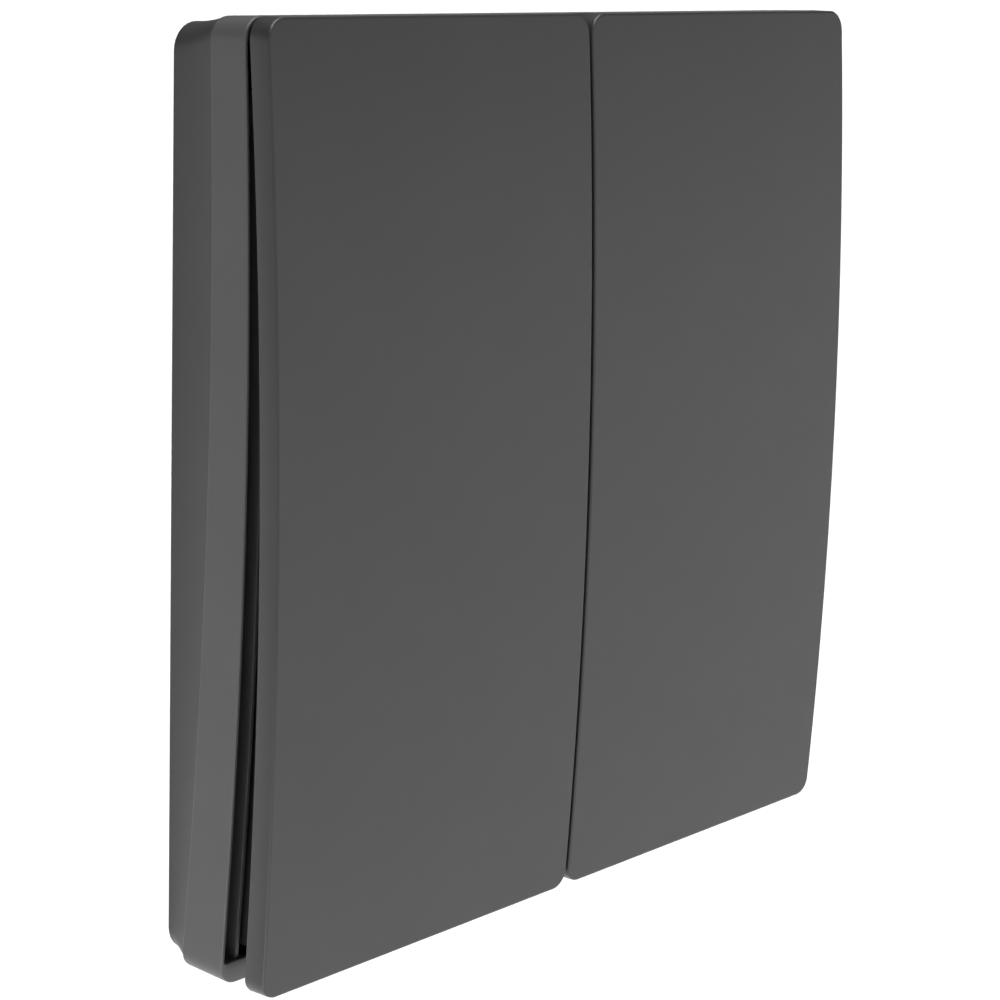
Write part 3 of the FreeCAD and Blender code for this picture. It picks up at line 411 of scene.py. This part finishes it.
def make_front_frame():
    """The ring round the rockers: tapered band, thin lip, sunk ledge, and a wide sill at the bottom."""
    bm = bmesh.new()
    loops = []
    skirt_inner = WALL_HALF + SKIRT_GAP

    def edge_ring(inset, depth):
        loops.append(ring(bm, lambda d: band_halves(d, inset), CORNER_ROUND - inset, depth))

    def lip_halves(grow, fall):
        undercut = SILL_UNDERCUT * fall / LEDGE_DROP

        def halves(depth):
            inner = draft_half(depth) - LIP + min(grow, 0.03)
            return (inner, inner, inner, SILL_HALF + undercut + grow)

        return halves

    loops.append(ring(bm, skirt_inner, WALL_ROUND, lambda z: fold_line(z) + NARROW))
    loops.append(ring(bm, skirt_inner + NARROW, WALL_ROUND, fold_line))
    for inset, rise in reversed(quarter(FOLD_ROUND)):
        edge_ring(inset, lambda z, lift=FOLD_ROUND - rise: fold_line(z) + lift)
    edge_ring(0.0, lambda z: fold_line(z) + FOLD_ROUND + NARROW)
    for inset, rise in [(0.0, -NARROW)] + quarter(LIP_ROUND, 6):
        edge_ring(inset, lambda z, lift=rise - LIP_ROUND: frame_front(z) + lift)
    lip_radii = (CORNER_ROUND - LIP, CORNER_ROUND - LIP, SILL_CORNER, SILL_CORNER)
    bore_radii = (BORE_ROUND, BORE_ROUND, SILL_CORNER, SILL_CORNER)
    inner_edge = [(inset, SILL_EDGE - rise) for inset, rise in reversed(quarter(SILL_EDGE))]
    for grow, fall in inner_edge + [(0.0, LEDGE_DROP - 0.05), (-0.05, LEDGE_DROP)]:
        loops.append(ring(bm, lip_halves(grow, fall), lip_radii, lambda z, fall=fall: frame_front(z) - fall))
    bore_halves = (BORE_HALF, BORE_HALF, BORE_HALF, SILL_HALF + SILL_UNDERCUT - 0.05)
    for grow, fall in ((0.06, LEDGE_DROP), (0.0, LEDGE_DROP + 0.06)):
        halves = tuple(half + grow for half in bore_halves)
        loops.append(ring(bm, halves, bore_radii, lambda z, fall=fall: frame_front(z) - fall))
    loops.append(ring(bm, bore_halves, bore_radii, NECK_DEPTH + SKIRT_GAP))
    loops.append(ring(bm, skirt_inner, WALL_ROUND, NECK_DEPTH + SKIRT_GAP))
    bridge(bm, loops, closed=True)
    thing = finish_mesh(bm, "front_frame_ring")
    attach(thing, "base")
    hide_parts("front_frame")
    dress(thing, "frame_plastic")
    return thing


def add_corner_block(bm, side_x, side_z):
    """A solid corner behind the chassis with a hole for its screw."""
    outer = BORE_HALF - 0.25
    corners = [(CORNER_BLOCK, CORNER_BLOCK), (outer, CORNER_BLOCK), (outer, outer), (CORNER_BLOCK, outer)]
    steps = 12
    square, hole = [], []
    for side in range(4):
        here, there = Vector(corners[side]), Vector(corners[(side + 1) % 4])
        for step in range(steps):
            square.append(here.lerp(there, step / steps))
    for point in square:
        away = point - Vector((SCREW_PLACE, SCREW_PLACE))
        hole.append(Vector((SCREW_PLACE, SCREW_PLACE)) + away.normalized() * SCREW_HOLE)

    def loop(points, depth):
        return [bm.verts.new((side_x * p.x * MM, -depth * MM, side_z * p.y * MM)) for p in points]

    back, front = BLOCK_LOW, FLANGE_TOP - 0.02
    loops = [loop(square, front), loop(square, back), loop(hole, back), loop(hole, front)]
    bridge(bm, loops, closed=True)


def make_back_housing():
    """The box at the wall; its sides sweep out in a cove to meet the front frame."""
    bm = bmesh.new()
    loops = []
    for inset, rise in reversed(quarter(WALL_EDGE_ROUND)):
        loops.append(ring(bm, WALL_HALF - inset, COVE_ROUND - inset, WALL_EDGE_ROUND - rise))
    for step in range(1, COVE_STEPS + 1):
        share = step / COVE_STEPS

        def cove_halves(depth, share=share):
            at_fold = (depth - WALL_EDGE_ROUND * (1 - share)) / share
            reach = band_halves(at_fold, FOLD_ROUND / 2)
            return tuple(WALL_HALF + (half - WALL_HALF) * share**COVE_POWER for half in reach)

        def cove_depth(height, share=share):
            return WALL_EDGE_ROUND + (fold_line(height) - SEAM - WALL_EDGE_ROUND) * share

        cove_round = COVE_ROUND + (CORNER_ROUND - COVE_ROUND) * share
        loops.append(ring(bm, cove_halves, cove_round, cove_depth))
    loops.append(ring(bm, WALL_HALF + 0.02, WALL_ROUND, lambda z: fold_line(z) - SEAM))
    loops.append(ring(bm, WALL_HALF, WALL_ROUND, NECK_DEPTH - NARROW))
    loops.append(ring(bm, BORE_HALF, BORE_ROUND, NECK_DEPTH - NARROW))
    loops.append(ring(bm, BORE_HALF, BORE_ROUND, FLANGE_TOP))
    loops.append(ring(bm, FLANGE_INNER, POCKET_ROUND, FLANGE_TOP))
    loops.append(ring(bm, FLANGE_INNER, POCKET_ROUND, FLANGE_LOW))
    loops.append(ring(bm, POCKET_HALF, POCKET_ROUND, FLANGE_LOW))
    loops.append(ring(bm, POCKET_HALF, POCKET_ROUND, NARROW))
    loops.append(ring(bm, BACK_RIM_HALF, BACK_RIM_ROUND, 0.0))
    bridge(bm, loops, closed=True)
    for side_x in (-1, 1):
        for side_z in (-1, 1):
            add_corner_block(bm, side_x, side_z)
    thing = finish_mesh(bm, "back_housing_box")
    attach(thing, "base")
    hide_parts("back_housing")
    dress(thing, "back_plastic")
    return thing


def make_chassis_screens():
    """The walls of the chassis that follow the front frame's bow, beside the rockers."""
    bm = bmesh.new()
    inner, fin, outer, bevel = SCREEN_INNER, SCREEN_FIN, SCREEN_OUTER, SCREEN_BEVEL
    for sign in (-1, 1):
        rows = []
        for step in range(SIDE_STEPS + 1):
            height = SCREEN_LOW + (SCREEN_HIGH - SCREEN_LOW) * step / SIDE_STEPS
            front = frame_front(height) - SCREEN_DROP
            ledge = front - SCREEN_STEP
            section = [(outer, FLOOR_TOP), (outer, front - bevel), (outer - bevel, front)]
            section += [(fin + bevel, front), (fin, front - bevel), (fin, ledge)]
            section += [(inner + bevel, ledge), (inner, ledge - bevel), (inner, FLOOR_TOP)]
            rows.append([bm.verts.new((sign * x * MM, -d * MM, height * MM)) for x, d in section])
        bridge(bm, rows)
        bm.faces.new(rows[0])
        bm.faces.new(rows[-1][::-1])
    thing = finish_mesh(bm, "chassis_screens")
    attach(thing, "base")
    dress(thing, "inner_plastic")
    return thing


# ---- rockers ----


def make_rocker_cover(side, sign):
    """A bowed cover with rounded front edges and a shallow hollow behind."""
    half_x = (FACE_HALF - GANG_GAP / 2) / 2
    centre_x = sign * GANG_PLACE
    bm = bmesh.new()
    loops = []
    sizes = (half_x, FACE_HALF, half_x, FACE_HALF)

    def loop(inset, depth):
        halves = tuple(size - inset for size in sizes)
        radii = tuple(radius - inset for radius in ROCKER_ROUNDS)
        loops.append(ring(bm, halves, radii, depth, centre_x))

    recess = tuple(size - PANEL_BORDER for size in sizes)
    recess = (recess[0], RECESS_TOP, recess[2], recess[3])
    recess_loop = ring(bm, recess, 0.6, lambda z: rocker_back(z) + PANEL_RECESS, centre_x)
    loops.append(recess_loop)
    loops.append(ring(bm, tuple(s + 0.02 for s in recess), 0.6, rocker_back, centre_x))
    loop(0.15, rocker_back)
    for inset, rise in reversed(quarter(BACK_EDGE_ROUND, 2)):
        loop(inset, lambda z, lift=BACK_EDGE_ROUND - rise: rocker_back(z) + lift)
    loop(0.0, lambda z: rocker_front(z) - EDGE_ROUND - 0.06)
    for inset, rise in quarter(EDGE_ROUND, 6):
        loop(inset, lambda z, lift=rise - EDGE_ROUND: rocker_front(z) + lift)
    loop(EDGE_ROUND + 0.08, rocker_front)
    bridge(bm, loops)
    fill_across(bm, loops[-1])
    fill_across(bm, recess_loop, flip=True)
    thing = finish_mesh(bm, f"rocker_{side}_cover")
    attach(thing, f"rocker_{side}")
    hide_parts(f"rocker_{side}")
    dress(thing, "rocker_plastic")
    return thing


def add_box(bm, across, depth, up):
    """A plain box from three (low, high) pairs in millimetres."""
    corners = {}
    for i in (0, 1):
        for j in (0, 1):
            for k in (0, 1):
                corners[i, j, k] = bm.verts.new((across[i] * MM, -depth[j] * MM, up[k] * MM))
    for axis in range(3):
        for end in (0, 1):
            face = []
            for first, second in ((0, 0), (1, 0), (1, 1), (0, 1)):
                place = [first, second]
                place.insert(axis, end)
                face.append(corners[tuple(place)])
            bm.faces.new(face)


def add_tube_across(bm, centre_x, half_length, outer, inner, depth, height):
    """A tube or, with inner 0, a rod that runs across."""

    def loop(radius, x):
        turn = [2 * math.pi * i / ROUND_STEPS for i in range(ROUND_STEPS)]
        return [
            bm.verts.new((x * MM, -(depth + radius * math.cos(a)) * MM, (height + radius * math.sin(a)) * MM))
            for a in turn
        ]

    low, high = centre_x - half_length, centre_x + half_length
    loops = [loop(outer, low), loop(outer, high), loop(inner, high), loop(inner, low)]
    bridge(bm, loops, closed=True)


def add_rod_outward(bm, centre_x, height, radius, depth):
    """A rod that stands out from the wall, with its end nearer the wall bevelled."""
    tip, root = depth
    loops = []
    for inset, out in ((NIB_EDGE, tip), (0.0, tip + NIB_EDGE), (0.0, root)):
        loop = []
        for i in range(ROUND_STEPS):
            turn = 2 * math.pi * i / ROUND_STEPS
            x = centre_x + (radius - inset) * math.cos(turn)
            z = height + (radius - inset) * math.sin(turn)
            loop.append(bm.verts.new((x * MM, -out * MM, z * MM)))
        loops.append(loop)
    bridge(bm, loops)
    bm.faces.new(loops[0])
    bm.faces.new(loops[-1][::-1])


def round_edges(thing, width, harden=False):
    modifier = thing.modifiers.new("rounding", "BEVEL")
    modifier.width = width * MM
    modifier.segments = 2
    modifier.limit_method = "ANGLE"
    modifier.angle_limit = math.radians(40)
    modifier.harden_normals = harden
    apply_modifiers(thing)


def make_rocker_inside(side, sign):
    """What is moulded on the back of a rocker: hinge knuckles, hooks, ribs, skirts, pusher and nib."""
    x0 = sign * GANG_PLACE
    bm = bmesh.new()
    block_back, block_front = KNUCKLE_BLOCK
    block_up = (HINGE_HEIGHT - KNUCKLE_ROUND, HINGE_HEIGHT + KNUCKLE_ROUND)
    for step in (-1, 1):
        knuckle = x0 + step * KNUCKLE_PLACE
        across = (knuckle - KNUCKLE_HALF, knuckle + KNUCKLE_HALF)
        add_box(bm, across, (HINGE_DEPTH + block_back, block_front), block_up)
        hook = x0 + step * HOOK_PLACE
        add_box(bm, (hook - HOOK_HALF, hook + HOOK_HALF), *HOOK_LEG)
        toe_half = HOOK_HALF - HOOK_TOE_INSET
        add_box(bm, (hook - toe_half, hook + toe_half), *HOOK_TOE)
    add_box(bm, (x0 - PUSHER_HALF, x0 + PUSHER_HALF), *PUSHER)
    plain = finish_mesh(bm, f"rocker_{side}_lugs")
    round_edges(plain, LUG_EDGE)

    bm = bmesh.new()
    for step in (-1, 1):
        knuckle = x0 + step * KNUCKLE_PLACE
        add_tube_across(bm, knuckle, KNUCKLE_HALF, KNUCKLE_ROUND, KNUCKLE_BORE, HINGE_DEPTH, HINGE_HEIGHT)
    add_rod_outward(bm, x0, NIB_HEIGHT, NIB_RADIUS, (NIB_TIP, LUG_ROOT))
    for place, half, low, high, back in RIBS:
        for step in (-1, 1):
            rows = []
            for i in range(SIDE_STEPS + 1):
                height = low + (high - low) * i / SIDE_STEPS
                start = rocker_back(height) + NARROW if back is None else back
                end = rocker_front(height) - RIB_SINK
                x = x0 + step * place
                section = [(x - half, start), (x - half, end), (x + half, end), (x + half, start)]
                rows.append([bm.verts.new((a * MM, -d * MM, height * MM)) for a, d in section])
            bridge(bm, rows)
            bm.faces.new(rows[0])
            bm.faces.new(rows[-1][::-1])
    bowed = finish_mesh(bm, f"rocker_{side}_ribs")
    for thing in (plain, bowed):
        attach(thing, f"rocker_{side}")
        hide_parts(f"rocker_{side}")
        dress(thing, "rocker_plastic")


# ---- the other pieces: copies with rounded edges, and CAD nodes as they are ----


def make_finished_copy(node, rounding, body):
    """A copy of a CAD node with its edges rounded a little, standing for the node."""
    bm = bmesh.new()
    bm.from_mesh(frame["nodes"][node].data)
    bmesh.ops.remove_doubles(bm, verts=bm.verts, dist=2e-6)
    bmesh.ops.dissolve_limit(bm, angle_limit=math.radians(0.5), verts=bm.verts, edges=bm.edges)
    thing = finish_mesh(bm, f"{node}_finished")
    round_edges(thing, rounding, harden=True)
    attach(thing, body)
    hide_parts(node)
    dress(thing, SLOT_OF[node])
    return thing


def body_of_node(node):
    for body, members in frame["record"]["behaviour"]["bodies"].items():
        if node in members:
            return body
    raise KeyError(node)


def make_return_spring(side):
    """The bent strip under a rocker, as a rounded copy of the CAD spring with a mesh of its own, fixed to the
    base. The real strip flattens towards the chassis floor as the rocker goes in; this copy keeps its CAD
    shape.
    """
    node = f"return_spring_{side}"
    spring = make_finished_copy(node, SPRING_EDGE, "base")
    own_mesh(spring)


# edge rounding in millimetres; a name without a side stands for both sides
FINISHED = {
    "wall_plate": 0.15,
    "adhesive_pads": 0.1,
    "chassis_screws": 0.08,
    "generator_screws": 0.08,
    "stop_pads": 0.15,
    "circuit_board": 0.05,
    "radio_shield": 0.12,
    "radio_chip": 0.05,
    "storage_capacitors": 0.12,
    "rectifier_diodes": 0.06,
    "hinge_pin": 0.1,
    "generator_case": 0.1,
    "coil_bobbin": 0.08,
    "iron_core": 0.06,
    "magnets": 0.12,
    "pole_plates": 0.08,
    "generator_lever": 0.12,
    "generator_pin": 0.08,
    "coil_terminals": 0.04,
    "key_switch": 0.1,
    "key_button": 0.1,
}


def dress_cad_nodes(replaced):
    for name in sorted(frame["nodes"]):
        kind = name.removesuffix("_left").removesuffix("_right")
        if name in replaced or kind == "return_spring":
            continue
        if kind in FINISHED:
            make_finished_copy(name, FINISHED[kind], body_of_node(name))
        else:
            dress(frame["nodes"][name], SLOT_OF[name])


# ---- camera, light and floor ----

LENS_PX = 2773.0
SENSOR_MM = 36.0
FRAME_PX = 1000.0
CAMERA_PLACE = Vector((-208.17, -175.54, 51.73)) * MM
CAMERA_YAW = math.radians(50.341)
CAMERA_PITCH = math.radians(11.891)
CAMERA_ROLL = math.radians(1.775)


def make_camera():
    """The camera looks to the right and a little down, and is rolled slightly."""
    data = bpy.data.cameras.new("camera")
    data.sensor_width = SENSOR_MM
    data.lens = LENS_PX / FRAME_PX * SENSOR_MM
    data.clip_start = 0.01
    data.clip_end = 50.0
    camera = bpy.data.objects.new("camera", data)
    ahead = Vector(
        (
            math.sin(CAMERA_YAW) * math.cos(CAMERA_PITCH),
            math.cos(CAMERA_YAW) * math.cos(CAMERA_PITCH),
            -math.sin(CAMERA_PITCH),
        )
    )
    level = Vector((math.cos(CAMERA_YAW), -math.sin(CAMERA_YAW), 0))
    upright = level.cross(ahead)
    right = level * math.cos(CAMERA_ROLL) + upright * math.sin(CAMERA_ROLL)
    up = upright * math.cos(CAMERA_ROLL) - level * math.sin(CAMERA_ROLL)
    turn = Matrix((right, up, -ahead)).transposed().to_4x4()
    camera.matrix_world = Matrix.Translation(CAMERA_PLACE) @ turn
    bpy.context.scene.collection.objects.link(camera)
    bpy.context.scene.camera = camera


# (place on the ramp from straight down, 0, to straight up, 1; brightness there)
SKY_STEPS = (
    (0.0, 1.0),
    (0.48, 1.0),
    (0.5, 0.85),
    (0.56, 0.5),
    (0.6, 0.1),
    (0.93, 0.1),
    (0.95, 5.0),
    (1.0, 5.0),
)
FLOOR_HEIGHT = -0.30
FLOOR_HALF = 20.0


def make_world():
    """Light that comes mostly from above and below; the camera sees a plain white background."""
    world = bpy.data.worlds.new("studio")
    world.use_nodes = True
    nodes, links = world.node_tree.nodes, world.node_tree.links
    background = nodes["Background"]
    place = nodes.new("ShaderNodeTexCoord")
    split = nodes.new("ShaderNodeSeparateXYZ")
    ramp = nodes.new("ShaderNodeValToRGB")
    lift = nodes.new("ShaderNodeMapRange")
    lift.inputs["From Min"].default_value = -1.0
    lift.inputs["From Max"].default_value = 1.0
    links.new(place.outputs["Generated"], split.inputs["Vector"])
    links.new(split.outputs["Z"], lift.inputs["Value"])
    links.new(lift.outputs["Result"], ramp.inputs["Fac"])
    links.new(ramp.outputs["Color"], background.inputs["Color"])
    elements = ramp.color_ramp.elements
    while len(elements) < len(SKY_STEPS):
        elements.new(0.5)
    for element, (place_on_ramp, tone) in zip(elements, SKY_STEPS):
        element.position = place_on_ramp
        element.color = (tone, tone, tone, 1)
    background.inputs["Strength"].default_value = 1.0
    seen = nodes.new("ShaderNodeBackground")
    rays = nodes.new("ShaderNodeLightPath")
    mix = nodes.new("ShaderNodeMixShader")
    links.new(rays.outputs["Is Camera Ray"], mix.inputs["Fac"])
    links.new(background.outputs["Background"], mix.inputs[1])
    links.new(seen.outputs["Background"], mix.inputs[2])
    links.new(mix.outputs["Shader"], nodes["World Output"].inputs["Surface"])
    seen.inputs["Color"].default_value = (1, 1, 1, 1)
    bpy.context.scene.world = world


def area_light(name, place, target, size, power):
    data = bpy.data.lights.new(name, "AREA")
    data.shape = "RECTANGLE"
    data.size, data.size_y = size
    data.energy = power
    light = bpy.data.objects.new(name, data)
    light.location = place
    light.rotation_mode = "QUATERNION"
    light.rotation_quaternion = (Vector(target) - Vector(place)).to_track_quat("-Z", "Y")
    light.visible_camera = False
    bpy.context.scene.collection.objects.link(light)
    return light


def make_floor():
    """A wide pale floor some way below the switch, which hangs as it would on a wall. Its colour is painted
    darker towards the left, from 0.3 m to 1.2 m left of the switch: painted shade.
    """
    bm = bmesh.new()
    bmesh.ops.create_grid(bm, x_segments=1, y_segments=1, size=FLOOR_HALF)
    floor = finish_mesh(bm, "floor")
    floor.location.z = FLOOR_HEIGHT
    material, nodes, links, shader = new_material("floor")
    place = nodes.new("ShaderNodeTexCoord")
    split = nodes.new("ShaderNodeSeparateXYZ")
    # painted shade: the floor colour goes from 0.95 down to 0.6 towards the left
    painted_shade_fade = nodes.new("ShaderNodeMapRange")
    painted_shade_fade.inputs["From Min"].default_value = -1.2
    painted_shade_fade.inputs["From Max"].default_value = -0.3
    painted_shade_fade.inputs["To Min"].default_value = 0.3
    painted_shade_fade.inputs["To Max"].default_value = 0.7
    links.new(place.outputs["Object"], split.inputs["Vector"])
    links.new(split.outputs["X"], painted_shade_fade.inputs["Value"])
    links.new(
        colour_between(nodes, links, painted_shade_fade.outputs["Result"], (0.6, 0.6, 0.6), (0.95, 0.95, 0.95)),
        shader.inputs["Base Color"],
    )
    shader.inputs["Roughness"].default_value = 0.9
    shader.inputs["Specular IOR Level"].default_value = 0.1
    floor.data.materials.append(material)


make_camera()
make_world()
make_floor()
area_light("glint", (-0.14, -0.54, 0.68), (0, 0, 0), (0.06, 0.06), 2.0)
area_light("low", (-0.05, -0.14, -0.16), (0, 0, -0.03), (0.4, 0.1), 0.07)
area_light("low_left", (-0.17, -0.02, -0.13), (-0.04, 0, -0.04), (0.1, 0.1), 0.1)
bpy.context.scene.view_settings.view_transform = "Standard"

make_front_frame()
make_back_housing()
for side, sign in (("left", -1), ("right", 1)):
    make_rocker_cover(side, sign)
    make_rocker_inside(side, sign)
    make_return_spring(side)
make_chassis_screens()
dress_cad_nodes(replaced=("front_frame", "back_housing", "rocker_left", "rocker_right"))
